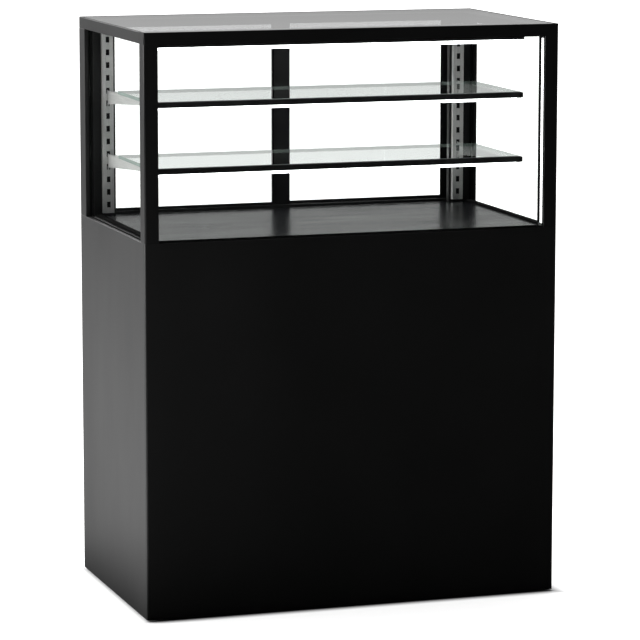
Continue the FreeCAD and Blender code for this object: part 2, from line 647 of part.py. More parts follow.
# ------------------------------------------------------------------------ cold system
TUB_FRONT = "-case_depth / 2 + 24.5"
TUB_BACK = "case_depth / 2 - tub_back_gap"
TUB_TOP = "deck_level - 8"
PIPES_AT = (-380, -350)
PIPE_LEVEL = 700


def insulated_tub():
    """The foamed tub under the deck, with a drain spigot and two pipe holes."""
    outer = box(("-(tub_half)", "tub_half"), (TUB_FRONT, TUB_BACK), ("tub_floor", TUB_TOP))
    hollow = box(("-(tub_half) + tub_wall", "tub_half - tub_wall"),
                 ("%s + tub_wall" % TUB_FRONT, "%s - tub_wall" % TUB_BACK),
                 ("tub_floor + tub_wall", "%s + 1" % TUB_TOP))
    spigot = cylinder("14", "60", ("-100", "0", "tub_floor - 50"))
    drain = cylinder("9", "120", ("-100", "0", "tub_floor - 51"))
    holes = [cylinder("7", "tub_wall + 10", (str(x), "%s - tub_wall - 5" % TUB_BACK, str(PIPE_LEVEL)), "Y")
             for x in PIPES_AT]
    subpart(cut(fuse(outer, spigot), hollow, drain, *holes), "insulated_tub")


def deck_pan():
    """The lift-out display deck: turned-down edges, a row of air slots, notched at the standards."""
    x_span = ("-(%s) + 2" % POST_INNER, "%s - 2" % POST_INNER)
    y_span = ("%s + 26" % FRONT, "%s - 2" % REAR_FRONT)
    outer = box(x_span, y_span, (TUB_TOP, "%s + pan_skirt + pan_thick" % TUB_TOP))
    hollow = box(("-(%s) + 4" % POST_INNER, "%s - 4" % POST_INNER),
                 ("%s + 28" % FRONT, "%s - 4" % REAR_FRONT),
                 ("%s - 1" % TUB_TOP, "%s + pan_skirt" % TUB_TOP))
    slots = [box((str(x), str(x + 56)), ("%s - 32" % REAR_FRONT, "%s - 24" % REAR_FRONT),
                 ("%s - 1" % TUB_TOP, "%s + 20" % TUB_TOP)) for x in range(-420, 400, 72)]
    notches = [box(both("%s - 3" % STANDARD_INNER, POST_INNER, side),
                   ("%s - standard_depth - 3" % REAR_FRONT, REAR_FRONT),
                   ("%s - 1" % TUB_TOP, "%s + 20" % TUB_TOP)) for side in SIDES]
    subpart(cut(outer, hollow, *slots, *notches), "deck_pan")


def finned_coil(label, x_span, y_span, z_span, fins, rows):
    """A coil: thin plates on a serpentine of round tube, with open space between the plates."""
    radius, thick, bare_end = 5.0, 1.0, 30.0
    centre = (y_span[0] + y_span[1]) / 2
    levels = [z_span[0] + (i + 0.5) * (z_span[1] - z_span[0]) / rows for i in range(rows)]
    points = []
    for i, level in enumerate(levels):
        ends = (x_span[0], x_span[1]) if i % 2 == 0 else (x_span[1], x_span[0])
        points += [Vector(ends[0], centre, level), Vector(ends[1], centre, level)]
    tube = round_tube(points, radius, (levels[1] - levels[0]) / 2 - 0.01)
    pitch = (x_span[1] - x_span[0] - 2 * bare_end) / (fins - 1)
    plates = []
    for i in range(fins):
        x = x_span[0] + bare_end + i * pitch
        plate = Part.makeBox(thick, y_span[1] - y_span[0], z_span[1] - z_span[0],
                             Vector(x, y_span[0], z_span[0]))
        for level in levels:
            hole = Part.makeCylinder(radius, thick + 2, Vector(x - 1, centre, level), Vector(1, 0, 0))
            plate = plate.cut(hole)
        plates.append(plate)
    feature(label, Part.makeCompound(plates + [tube]))


def round_tube(points, radius, bend):
    """A round bar along a path of straight runs joined by tangent arcs."""
    edges, start = [], points[0]
    for i in range(1, len(points) - 1):
        corner = points[i]
        back, ahead = (points[i - 1] - corner).normalize(), (points[i + 1] - corner).normalize()
        half = math.acos(max(-1.0, min(1.0, back.dot(ahead)))) / 2
        reach = bend / math.tan(half)
        first, last = corner + back * reach, corner + ahead * reach
        middle = corner + (back + ahead).normalize() * (bend / math.sin(half) - bend)
        edges += [Part.LineSegment(start, first).toShape(), Part.Arc(first, middle, last).toShape()]
        start = last
    edges.append(Part.LineSegment(start, points[-1]).toShape())
    section = Part.Wire(Part.makeCircle(radius, points[0], points[1] - points[0]))
    return Part.Wire(edges).makePipeShell([section], True, False)


def fan_rotor(label, radius, centre, depth, blades):
    """A fan wheel: hub with a bore and pitched blades, turning about a line along Y."""
    hub = Part.makeCylinder(radius * 0.3, depth, Vector(), Vector(0, 1, 0))
    bore = Part.makeCylinder(3.05, depth + 2, Vector(0, -1, 0), Vector(0, 1, 0))
    wheel = hub
    for i in range(blades):
        blade = Part.makeBox(radius * 0.74, 1.6, radius * 0.5,
                             Vector(radius * 0.24, depth / 2 - 0.8, -radius * 0.25))
        blade.rotate(Vector(0, depth / 2, 0), Vector(1, 0, 0), 28)
        blade.rotate(Vector(), Vector(0, 1, 0), 360.0 * i / blades)
        wheel = wheel.fuse(blade)
    tip = Part.makeCylinder(radius, depth + 40, Vector(0, -20, 0), Vector(0, 1, 0))
    feature(label, wheel.common(tip).cut(bore), centre)


def fan_motor(label, centre, length, radius, shaft):
    """A fan motor with its shaft pointing along +Y."""
    body = Part.makeCylinder(radius, length, centre - Vector(0, length, 0), Vector(0, 1, 0))
    spindle = Part.makeCylinder(3.0, shaft, centre, Vector(0, 1, 0))
    feature(label, body.fuse(spindle).removeSplitter())


EVAP_FAN = Vector(0, 62, 715)
COND_FAN = Vector(230, 176, 210)


def evaporator_section():
    """Coil, fan plate, motor and wheel inside the tub."""
    finned_coil("evaporator_coil", (-400, 400), (105, 165), (620, 800), 60, 6)
    plate_y = EVAP_FAN.y - 2
    plate = box(("-(tub_half) + tub_wall + 1", "tub_half - tub_wall - 1"),
                (str(plate_y), "%g + sheet" % plate_y), ("tub_floor + tub_wall", "%s - 4" % TUB_TOP))
    hole = cylinder("evap_fan_radius + 5", "20", (str(EVAP_FAN.x), str(plate_y - 5), str(EVAP_FAN.z)), "Y")
    strap = box((str(EVAP_FAN.x - 90), str(EVAP_FAN.x + 90)), (str(plate_y - 24), str(plate_y - 21)),
                (str(EVAP_FAN.z - 9), str(EVAP_FAN.z + 9)))
    legs = [box((str(EVAP_FAN.x + shift), str(EVAP_FAN.x + shift + 3)), (str(plate_y - 21), str(plate_y)),
                (str(EVAP_FAN.z - 9), str(EVAP_FAN.z + 9))) for shift in (-90, 87)]
    shaft_hole = cylinder("3.6", "60", (str(EVAP_FAN.x), str(plate_y - 50), str(EVAP_FAN.z)), "Y")
    subpart(cut(fuse(cut(plate, hole), strap, *legs), shaft_hole), "evaporator_fan_plate")
    fan_motor("evaporator_fan_motor", Vector(EVAP_FAN.x, plate_y - 24, EVAP_FAN.z), 44, 28, 36)
    fan_rotor("evaporator_fan_rotor", size("evap_fan_radius"), EVAP_FAN - Vector(0, 10, 0), 20, 5)


def condensing_unit():
    """Compressor, condenser, fan and tray on the floor pan."""
    finned_coil("condenser_coil", (60, 400), (205, 245), (60, 360), 40, 8)
    plate_y = 196
    shroud = box(("85", "375"), (str(plate_y), "%g + sheet" % plate_y), ("foot_rise + sheet", "370"))
    foot = box(("85", "375"), ("%g - 40" % plate_y, str(plate_y)),
               ("foot_rise + sheet", "foot_rise + 2 * sheet"))
    hole = cylinder("cond_fan_radius + 6", "20",
                    (str(COND_FAN.x), "%g - 5" % plate_y, str(COND_FAN.z)), "Y")
    strap = box((str(COND_FAN.x - 115), str(COND_FAN.x + 115)), ("%g - 48" % plate_y, "%g - 45" % plate_y),
                (str(COND_FAN.z - 12), str(COND_FAN.z + 12)))
    legs = [box((str(COND_FAN.x + shift), str(COND_FAN.x + shift + 3)),
                ("%g - 45" % plate_y, str(plate_y)), (str(COND_FAN.z - 12), str(COND_FAN.z + 12)))
            for shift in (-115, 112)]
    shaft_hole = cylinder("3.6", "60", (str(COND_FAN.x), "%g - 60" % plate_y, str(COND_FAN.z)), "Y")
    subpart(cut(fuse(cut(shroud, hole), foot, strap, *legs), shaft_hole), "condenser_fan_shroud")
    fan_motor("condenser_fan_motor", Vector(COND_FAN.x, plate_y - 48, COND_FAN.z), 50, 38, 50)
    fan_rotor("condenser_fan_rotor", size("cond_fan_radius"),
              Vector(COND_FAN.x, plate_y - 22, COND_FAN.z), 24, 5)
    compressor()
    tray = cut(box(("-40", "330"), ("-230", "60"), ("foot_rise + sheet", "foot_rise + 62")),
               box(("-38", "328"), ("-228", "58"), ("foot_rise + 2 * sheet", "foot_rise + 70")))
    subpart(tray, "evaporation_tray")


COMPRESSOR_AT = (-240, 40)
PORTS_AT = (-50, 50)


def compressor():
    """The hermetic compressor: domed steel can on a base plate with four rubber-footed corners."""
    x, y = COMPRESSOR_AT
    low = size("foot_rise") + size("sheet")
    can = Part.makeCylinder(82, 140, Vector(x, y, low + 24))
    dome = Part.makeSphere(100).common(Part.makeCylinder(82, 120, Vector(0, 0, 0)))
    dome.translate(Vector(x, y, low + 24 + 140 - 57.24))
    plate = Part.makeBox(210, 150, 4, Vector(x - 105, y - 75, low + 20))
    shape = can.fuse(dome).fuse(plate)
    for dx in (-90, 90):
        for dy in (-60, 60):
            shape = shape.fuse(Part.makeCylinder(13, 20, Vector(x + dx, y + dy, low)))
    for dx in PORTS_AT:
        shape = shape.fuse(Part.makeCylinder(6, 45, Vector(x + dx, y + 55, low + 110), Vector(0, 1, 0)))
    feature("compressor", shape.removeSplitter())


def refrigerant_pipes():
    """Copper lines: discharge to the condenser, liquid to the tub, and suction back."""
    x, y = COMPRESSOR_AT
    port = size("foot_rise") + size("sheet") + 110
    left, right = (Vector(x + dx, y + 100, port) for dx in PORTS_AT)
    low, high = 78.75, 341.25
    lane, coil = 240, 225
    in_tub = size("case_depth") / 2 - size("tub_back_gap") - size("tub_wall") - 10
    suction_x, liquid_x = PIPES_AT
    discharge = [right, Vector(right.x, coil, port), Vector(right.x, coil, low), Vector(60, coil, low)]
    liquid = [Vector(60, coil, high), Vector(-40, coil, high), Vector(-40, lane, 480),
              Vector(liquid_x, lane, 480), Vector(liquid_x, lane, PIPE_LEVEL),
              Vector(liquid_x, in_tub, PIPE_LEVEL)]
    suction = [left, Vector(left.x, coil, port), Vector(suction_x, lane, 200),
               Vector(suction_x, lane, PIPE_LEVEL), Vector(suction_x, in_tub, PIPE_LEVEL)]
    runs = [round_tube(discharge, 4, 18), round_tube(liquid, 4, 18), round_tube(suction, 5, 18)]
    feature("refrigerant_pipes", Part.makeCompound(runs))
    drier = Part.makeCylinder(11, 90, Vector(liquid_x, lane, 530))
    ends = [Part.makeCone(11, 4.5, 10, Vector(liquid_x, lane, 620)),
            Part.makeCone(4.5, 11, 10, Vector(liquid_x, lane, 520))]
    bore = Part.makeCylinder(4, 130, Vector(liquid_x, lane, 510))
    feature("filter_drier", drier.fuse(ends[0]).fuse(ends[1]).cut(bore).removeSplitter())


# ------------------------------------------------------------------------------ build
def build():
    """Make every piece."""
    base_pan()
    for name, x, y in foot_places():
        levelling_foot(name, x, y)
    front_panel()
    louvred_panel()
    control_panel()
    rear_sill()
    thermostat()
    for name, shift in BUTTONS_AT.items():
        thermostat_button(name, shift)
    subpart(group(*[switch_housing(x) for x in SWITCHES_AT.values()]), "switch_housings")
    for name, x in SWITCHES_AT.items():
        rocker(name, x)
    power_inlet()
    screws()
    for side in SIDES:
        side_panel(side)
        deck_rail(side)
        front_post(side)
        rear_post(side)
        side_rail(side)
        shelf_standard(side)
    front_rail()
    rear_header()
    glass()
    top_light()
    shelf_brackets()
    shelf("upper_shelf", "upper_shelf_level")
    shelf("lower_shelf", "lower_shelf_level")
    sliding_door("left", 0)
    sliding_door("right", 1)
    insulated_tub()
    deck_pan()
    evaporator_section()
    condensing_unit()
    refrigerant_pipes()


def check_document():
    """Stop if any object failed or any piece is not a valid solid."""
    failed = [item.Name for item in doc.Objects
              if "Invalid" in item.State or "Error" in item.State]
    if failed:
        raise RuntimeError("objects that failed: %s" % failed)
    for item in subparts:
        if item.Shape.isNull() or not item.Shape.isValid() or not item.Shape.Solids:
            raise RuntimeError("not a valid solid: " + item.Label)


build()
doc.recompute()
check_document()
os.makedirs("parts", exist_ok=True)
for item in subparts:
    item.Shape.exportStep("parts/%s.step" % item.Label)
print("wrote %d sub-parts" % len(subparts))
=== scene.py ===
"""Looks of the bakery display case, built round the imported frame.

Metres, in the frame's own axes: the customer side faces -Y, the staff side +Y, +Z is up.
"""

import json
import math

import bmesh
import bpy
from mathutils import Matrix, Vector


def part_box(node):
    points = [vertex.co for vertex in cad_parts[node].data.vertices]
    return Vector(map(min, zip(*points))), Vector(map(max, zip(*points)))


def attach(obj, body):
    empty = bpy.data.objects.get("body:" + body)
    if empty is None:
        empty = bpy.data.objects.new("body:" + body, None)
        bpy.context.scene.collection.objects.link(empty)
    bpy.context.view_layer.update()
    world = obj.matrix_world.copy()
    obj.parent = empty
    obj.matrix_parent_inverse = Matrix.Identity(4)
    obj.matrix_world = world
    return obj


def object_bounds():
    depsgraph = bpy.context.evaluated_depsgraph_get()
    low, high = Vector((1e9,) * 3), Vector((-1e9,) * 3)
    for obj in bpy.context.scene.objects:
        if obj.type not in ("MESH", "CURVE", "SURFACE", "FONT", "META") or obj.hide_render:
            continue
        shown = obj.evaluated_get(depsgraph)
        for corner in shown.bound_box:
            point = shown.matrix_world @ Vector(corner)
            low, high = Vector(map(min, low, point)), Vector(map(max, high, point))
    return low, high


MM = 0.001
SIDES = {"left": -1, "right": 1}
STAFFWARD = Vector((0.0, 1.0, 0.0))

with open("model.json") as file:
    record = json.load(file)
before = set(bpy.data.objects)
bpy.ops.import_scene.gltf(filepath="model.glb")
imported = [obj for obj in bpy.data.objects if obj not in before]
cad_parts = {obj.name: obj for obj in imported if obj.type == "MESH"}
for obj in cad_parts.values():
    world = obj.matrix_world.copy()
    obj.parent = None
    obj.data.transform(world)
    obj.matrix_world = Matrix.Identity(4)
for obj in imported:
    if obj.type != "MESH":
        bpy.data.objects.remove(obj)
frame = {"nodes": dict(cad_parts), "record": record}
cad_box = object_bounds()
nodes = frame["nodes"]

# The camera's place in metres, its azimuth, elevation and roll in degrees, and its lens in millimetres.
CAMERA_PLACE = (-2.5232, -7.5991, 1.8966)
CAMERA_TURN = (18.449, -8.959, 0.057)
CAMERA_LENS = 190.91

# Strength of the mirrored studio in front of the case and behind it, and its gain on the left.
DIM_STUDIO, BRIGHT_STUDIO, LEFT_GAIN = 0.005, 0.75, 5.7
WHITE_BACKDROP = 1.7
# The floor's own glow, its glow as polished faces see it, and its radius in metres.
FLOOR_GLOW, FLOOR_MIRRORED, FLOOR_RADIUS = 0.9, 1.15, 5.5
# Distances in metres over which the floor's glow fades in away from the case (a painted contact shadow), its
# mirrored glow fades in away from the case (painted shadow in the reflections) and the mirrored glow fades
# in to the left of the case.
PAINTED_SHADOW_FADE, MIRRORED_SHADOW_FADE, LEFT_FADE = 0.03, 0.35, 0.2
WHITE = (1.0, 1.0, 1.0, 1.0)

# Share of light that plain glass mirrors when it is looked at squarely.
GLASS_MIRROR = 0.04


# ---------------------------------------------------------------- shader node helpers
def add_node(tree, kind, inputs=None, **settings):
    """A shader node with its settings and its inputs, each a value or another node's output."""
    made = tree.nodes.new(kind)
    for name, value in settings.items():
        setattr(made, name, value)
    for key, value in (inputs or {}).items():
        if isinstance(value, bpy.types.NodeSocket):
            tree.links.new(value, made.inputs[key])
        else:
            made.inputs[key].default_value = value
    return made


def maths(tree, operation, *values):
    """The result of one Math node on one to three values."""
    return add_node(tree, "ShaderNodeMath", dict(enumerate(values)), operation=operation).outputs[0]


def ramp(tree, value, start, end, low=0.0, high=1.0, **settings):
    """A value moved from one range to another and held there."""
    return add_node(tree, "ShaderNodeMapRange", {
        "Value": value, "From Min": start, "From Max": end, "To Min": low, "To Max": high,
    }, **settings).outputs["Result"]


# ------------------------------------------------------------------ camera and light
def add_camera():
    """A long lens from the front left, a little above the case."""
    azimuth, elevation, roll = (math.radians(angle) for angle in CAMERA_TURN)
    data = bpy.data.cameras.new("camera")
    data.lens, data.sensor_width = CAMERA_LENS, 36.0
    data.clip_end = 100.0
    camera = bpy.data.objects.new("camera", data)
    camera.location = CAMERA_PLACE
    ahead = Vector((math.sin(azimuth) * math.cos(elevation), math.cos(azimuth) * math.cos(elevation),
                    math.sin(elevation)))
    turn = ahead.to_track_quat("-Z", "Y").to_matrix()
    camera.rotation_euler = (turn @ Matrix.Rotation(roll, 3, "Z")).to_euler()
    bpy.context.scene.collection.objects.link(camera)
    bpy.context.scene.camera = camera


def add_area(name, place, towards, size, power):
    """A soft rectangular lamp."""
    data = bpy.data.lights.new(name, "AREA")
    data.shape = "RECTANGLE"
    data.size, data.size_y = size
    data.energy = power
    lamp = bpy.data.objects.new(name, data)
    lamp.location = place
    lamp.rotation_euler = (Vector(towards) - Vector(place)).to_track_quat("-Z", "Z").to_euler()
    bpy.context.scene.collection.objects.link(lamp)


def add_world():
    """White to look at; for everything else a studio above the floor, dim in front of the case,
    bright behind it and brightest behind it on the left."""
    world = bpy.data.worlds.new("studio")
    world.use_nodes = True
    bpy.context.scene.world = world
    tree = world.node_tree
    tree.nodes.clear()
    direction = add_node(tree, "ShaderNodeTexCoord").outputs["Generated"]
    axes = add_node(tree, "ShaderNodeSeparateXYZ", {"Vector": direction})
    ramps = (("Y", -0.25, 0.75, DIM_STUDIO, BRIGHT_STUDIO), ("Z", 0.0, 0.12, 0.0, 1.0),
             ("X", -0.25, 0.1, LEFT_GAIN, 1.0))
    strength = 1.0
    for axis, start, end, low, high in ramps:
        gain = ramp(tree, axes.outputs[axis], start, end, low, high, interpolation_type="SMOOTHSTEP")
        strength = maths(tree, "MULTIPLY", strength, gain)
    studio = add_node(tree, "ShaderNodeBackground", {"Strength": strength})
    white = add_node(tree, "ShaderNodeBackground", {"Strength": WHITE_BACKDROP})
    path = add_node(tree, "ShaderNodeLightPath")
    mixed = add_node(tree, "ShaderNodeMixShader", {
        0: path.outputs["Is Camera Ray"], 1: studio.outputs[0], 2: white.outputs[0]})
    for background in (studio, white):
        background.inputs["Color"].default_value = WHITE
    output = add_node(tree, "ShaderNodeOutputWorld")
    tree.links.new(mixed.outputs[0], output.inputs["Surface"])


def add_floor():
    """A pale disc that glows into the white studio, except close to the case and under it, where the missing
    glow is a painted contact shadow.

    Polished faces see only its part on the left, fading in away from the case as a painted shadow in their
    reflections.
    """
    mesh = bpy.data.meshes.new("floor")
    shape = bmesh.new()
    bmesh.ops.create_circle(shape, cap_ends=True, segments=96, radius=FLOOR_RADIUS)
    shape.to_mesh(mesh)
    shape.free()
    floor = bpy.data.objects.new("floor", mesh)
    bpy.context.scene.collection.objects.link(floor)
    material = bpy.data.materials.new("floor")
    material.use_nodes = True
    tree = material.node_tree
    shader = tree.nodes["Principled BSDF"]
    shader.inputs["Base Color"].default_value = (0.8, 0.8, 0.8, 1.0)
    shader.inputs["Roughness"].default_value = 0.9
    shader.inputs["Specular IOR Level"].default_value = 0.0
    shader.inputs["Emission Color"].default_value = WHITE
    place = add_node(tree, "ShaderNodeTexCoord").outputs["Object"]
    axes = add_node(tree, "ShaderNodeSeparateXYZ", {"Vector": place})
    side, back = cad_box[1].x, cad_box[1].y
    gaps = [maths(tree, "SUBTRACT", maths(tree, "ABSOLUTE", axes.outputs[axis]), reach)
            for axis, reach in (("X", side), ("Y", back))]
    gap = maths(tree, "MAXIMUM", *gaps)
    # The glow dies away at the case's footprint: a painted contact shadow.
    glow = ramp(tree, gap, 0.0, PAINTED_SHADOW_FADE, 0.0, FLOOR_GLOW)
    tree.links.new(glow, shader.inputs["Emission Strength"])
    leftward = ramp(tree, axes.outputs["X"], -side, -side - LEFT_FADE, 0.0, FLOOR_MIRRORED)
    # The mirrored glow also dies away near the case: painted shadow in the reflections.
    mirrored = maths(tree, "MULTIPLY", leftward, ramp(tree, gap, 0.0, MIRRORED_SHADOW_FADE))
    seen = add_node(tree, "ShaderNodeEmission", {"Strength": mirrored})
    path = add_node(tree, "ShaderNodeLightPath")
    surface = add_node(tree, "ShaderNodeMixShader", {
        0: path.outputs["Is Glossy Ray"], 1: shader.outputs[0], 2: seen.outputs[0]})
    tree.links.new(surface.outputs[0], tree.nodes["Material Output"].inputs["Surface"])
    mesh.materials.append(material)


# --------------------------------------------------------------------------- finishes
class Finish:
    """A material being built around one Principled shader."""

    def __init__(self, name, colour, roughness, **values):
        self.material = bpy.data.materials.new(name)
        self.material.use_nodes = True
        self.tree = self.material.node_tree
        self.shader = self.tree.nodes["Principled BSDF"]
        self.set(Base_Color=(*colour, 1.0), Roughness=roughness, **values)
        self.colour = colour
        self.place = self.add("ShaderNodeTexCoord").outputs["Object"]

    def add(self, kind, inputs=None, **settings):
        return add_node(self.tree, kind, inputs, **settings)

    def set(self, **values):
        """Set or link the shader's inputs; an underscore stands for a space."""
        for name, value in values.items():
            socket = self.shader.inputs[name.replace("_", " ")]
            if isinstance(value, bpy.types.NodeSocket):
                self.tree.links.new(value, socket)
            else:
                socket.default_value = value

    def stretched(self, scale):
        """Object coordinates scaled along each axis."""
        return self.add("ShaderNodeMapping", {"Vector": self.place, "Scale": scale}).outputs[0]

    def noise(self, scale, detail=3.0, place=None):
        """Smooth noise between 0 and 1; scale is in cycles per metre."""
        values = {"Vector": place or self.place, "Scale": scale, "Detail": detail}
        return self.add("ShaderNodeTexNoise", values).outputs["Fac"]

    def ranged(self, value, low, high, start=0.3, end=0.7):
        """A value, usually noise, moved into another range and held there."""
        return ramp(self.tree, value, start, end, low, high)

    def mixed(self, share, first, second):
        """A colour between two colours."""
        made = self.add("ShaderNodeMix", data_type="RGBA")
        sockets = [s for s in made.inputs if s.type == "RGBA"]
        for socket, value in ((made.inputs[0], share), (sockets[0], first), (sockets[1], second)):
            if isinstance(value, bpy.types.NodeSocket):
                self.tree.links.new(value, socket)
            elif isinstance(value, tuple):
                socket.default_value = (*value, 1.0)
            else:
                socket.default_value = value
        return next(s for s in made.outputs if s.type == "RGBA")

    def shaded(self, factor):
        """The base colour made lighter or darker."""
        return tuple(min(1.0, part * factor) for part in self.colour)

    def bump(self, height, depth):
        """Relief of a given depth in metres."""
        normal = self.add("ShaderNodeBump", {"Height": height, "Distance": depth, "Strength": 1.0})
        self.set(Normal=normal.outputs[0])

    def edges(self, radius):
        """1 along rounded edges and 0 on flat faces."""
        rounded = self.add("ShaderNodeBevel", {"Radius": radius}, samples=4)
        flat = self.add("ShaderNodeNewGeometry").outputs["Normal"]
        aligned = self.add("ShaderNodeVectorMath", {0: rounded.outputs[0], 1: flat}, operation="DOT_PRODUCT")
        return self.ranged(aligned.outputs["Value"], 1.0, 0.0, 0.80, 0.995)


def powder_coat(name, colour, roughness, peel=0.02 * MM, wear=2.2, **values):
    """Baked powder paint: fine orange peel, faint clouding, edges rubbed a little paler."""
    finish = Finish(name, colour, roughness, **values)
    cloud = finish.noise(5.0, 5.0)
    patchy = finish.ranged(finish.noise(70.0), 0.2, 1.0)
    rubbed = maths(finish.tree, "MULTIPLY", finish.edges(1.2 * MM), patchy)
    coat = finish.mixed(finish.ranged(cloud, 0.0, 1.0), finish.shaded(0.82), finish.shaded(1.2))
    finish.set(Base_Color=finish.mixed(rubbed, coat, finish.shaded(wear)))
    smears = finish.noise(3.0, 6.0, finish.stretched((1.0, 1.0, 0.35)))
    finish.set(Roughness=finish.ranged(smears, roughness * 0.88, roughness * 1.14))
    grain = finish.noise(1500.0, 2.0)
    finish.bump(grain, peel)
    return finish.material


def glossy_enamel(name, colour, roughness, coat=0.6, **values):
    """Smooth wiped enamel with a wet coat and the faintest wipe marks."""
    finish = Finish(name, colour, roughness, Coat_Weight=coat, Coat_Roughness=0.04, **values)
    wipes = finish.noise(9.0, 6.0, finish.stretched((0.3, 1.4, 1.0)))
    finish.set(Roughness=finish.ranged(wipes, roughness * 0.88, roughness * 1.15))
    dust = finish.noise(220.0, 2.0)
    finish.set(Base_Color=finish.mixed(finish.ranged(dust, 0.0, 1.0, 0.55, 0.8), finish.shaded(0.9),
                                       finish.shaded(1.8)))
    finish.bump(finish.noise(14.0, 2.0), 0.04 * MM)
    return finish.material


def brushed_metal(name, colour, roughness, along, metallic=1.0, relief=0.02 * MM):
    """Rolled or brushed sheet, its grain drawn out along one axis."""
    finish = Finish(name, colour, roughness, Metallic=metallic)
    scale = tuple(2.0 if i == along else 90.0 for i in range(3))
    grain = finish.noise(7.0, 5.0, finish.stretched(scale))
    handling = finish.noise(12.0, 4.0)
    shade = finish.mixed(finish.ranged(grain, 0.0, 1.0), finish.shaded(0.84), finish.shaded(1.1))
    finish.set(Base_Color=finish.mixed(finish.ranged(handling, 0.0, 0.35, 0.5, 0.8), shade,
                                       finish.shaded(0.72)))
    finish.set(Roughness=finish.ranged(grain, roughness * 0.8, roughness * 1.25))
    finish.bump(grain, relief)
    return finish.material


def galvanised_sheet(name, colour, roughness):
    """Zinc coating with its spangle of crystals."""
    finish = Finish(name, colour, roughness, Metallic=0.85)
    spangle = finish.add("ShaderNodeTexVoronoi", {"Vector": finish.place, "Scale": 85.0, "Randomness": 1.0})
    flake = finish.add("ShaderNodeSeparateColor", {"Color": spangle.outputs["Color"]}).outputs[0]
    bloom = finish.ranged(finish.noise(8.0, 4.0), 0.0, 0.5, 0.5, 0.8)
    crystal = finish.mixed(flake, finish.shaded(0.72), finish.shaded(1.15))
    finish.set(Base_Color=finish.mixed(bloom, crystal, (0.62, 0.63, 0.64)))
    finish.set(Roughness=finish.ranged(flake, roughness * 0.75, roughness * 1.3, 0.0, 1.0))
    finish.bump(spangle.outputs["Distance"], 0.03 * MM)
    return finish.material


def moulded_plastic(name, colour, roughness, grain=0.03 * MM, **values):
    """Injection-moulded plastic with a spark-eroded texture."""
    finish = Finish(name, colour, roughness, **values)
    eroded = finish.noise(2600.0, 3.0)
    flow = finish.noise(18.0, 3.0)
    finish.set(Base_Color=finish.mixed(finish.ranged(flow, 0.0, 1.0), finish.shaded(0.86),
                                       finish.shaded(1.16)))
    finish.set(Roughness=finish.ranged(eroded, roughness * 0.85, min(1.0, roughness * 1.2)))
    finish.bump(eroded, grain)
    return finish.material


def drawn_copper(name, colour, roughness):
    """Copper tube with draw lines and a brown bloom of handling."""
    finish = Finish(name, colour, roughness, Metallic=1.0)
    bloom = finish.ranged(finish.noise(22.0, 5.0), 0.0, 0.85, 0.42, 0.72)
    finish.set(Base_Color=finish.mixed(bloom, finish.colour, (0.34, 0.15, 0.08)))
    finish.set(Roughness=finish.ranged(bloom, roughness, roughness * 2.0, 0.0, 1.0))
    finish.bump(finish.noise(400.0, 2.0), 0.03 * MM)
    return finish.material


def lit_opal(name, colour, strength):
    """An opal cover over a row of lamps: brighter over each lamp, softer between."""
    finish = Finish(name, colour, 0.5)
    waves = finish.add("ShaderNodeTexWave", {"Vector": finish.place, "Scale": 19.0, "Distortion": 0.0},
                       wave_type="BANDS", bands_direction="DIAGONAL", wave_profile="SIN")
    share = finish.ranged(waves.outputs["Fac"], 0.0, 1.0, 0.0, 1.0)
    glow = finish.mixed(share, (0.93, 0.95, 0.97), (1.0, 1.0, 1.0))
    finish.set(Emission_Color=glow, Emission_Strength=strength)
    return finish.material


def pane(name, axis, tint, edge_colour, smudge=0.02, coating=1.0):
    """Flat glass that mirrors more at a slant. Both faces' mirroring is on the face the ray meets first.

    axis is the direction across the pane; faces turned another way are its polished edges.
    coating is the share of its mirroring that an anti-reflective coating leaves.
    """
    material = bpy.data.materials.new(name)
    material.use_nodes = True
    tree = material.node_tree
    tree.nodes.clear()
    place = add_node(tree, "ShaderNodeTexCoord")
    slant = add_node(tree, "ShaderNodeLayerWeight", {"Blend": 0.5}).outputs["Facing"]
    fifth = maths(tree, "POWER", slant, 5.0)
    single = maths(tree, "MULTIPLY_ADD", fifth, 1.0 - GLASS_MIRROR, GLASS_MIRROR)
    both = maths(tree, "DIVIDE", maths(tree, "MULTIPLY", single, 2.0), maths(tree, "ADD", single, 1.0))
    behind = add_node(tree, "ShaderNodeNewGeometry").outputs["Backfacing"]
    mirror = maths(tree, "MULTIPLY", both, ramp(tree, behind, 0.0, 1.0, coating, 0.0))
    clouds = add_node(tree, "ShaderNodeTexNoise", {
        "Vector": place.outputs["Object"], "Scale": 7.0, "Detail": 7.0}).outputs["Fac"]
    haze = ramp(tree, clouds, 0.45, 0.75, 0.0, smudge)
    clear = add_node(tree, "ShaderNodeBsdfTransparent", {"Color": (*tint, 1.0)})
    gloss = add_node(tree, "ShaderNodeBsdfAnisotropic", {"Color": WHITE, "Roughness": haze})
    body = add_node(tree, "ShaderNodeMixShader", {0: mirror, 1: clear.outputs[0], 2: gloss.outputs[0]})
    ground = add_node(tree, "ShaderNodeBsdfPrincipled", {
        "Base Color": (*edge_colour, 1.0), "Roughness": 0.12, "Coat Weight": 0.3})
    turned = add_node(tree, "ShaderNodeSeparateXYZ", {"Vector": place.outputs["Normal"]}).outputs[axis]
    edge = maths(tree, "LESS_THAN", maths(tree, "ABSOLUTE", turned), 0.7)
    surface = add_node(tree, "ShaderNodeMixShader", {0: edge, 1: body.outputs[0], 2: ground.outputs[0]})
    output = add_node(tree, "ShaderNodeOutputMaterial")
    tree.links.new(surface.outputs[0], output.inputs["Surface"])
    return material


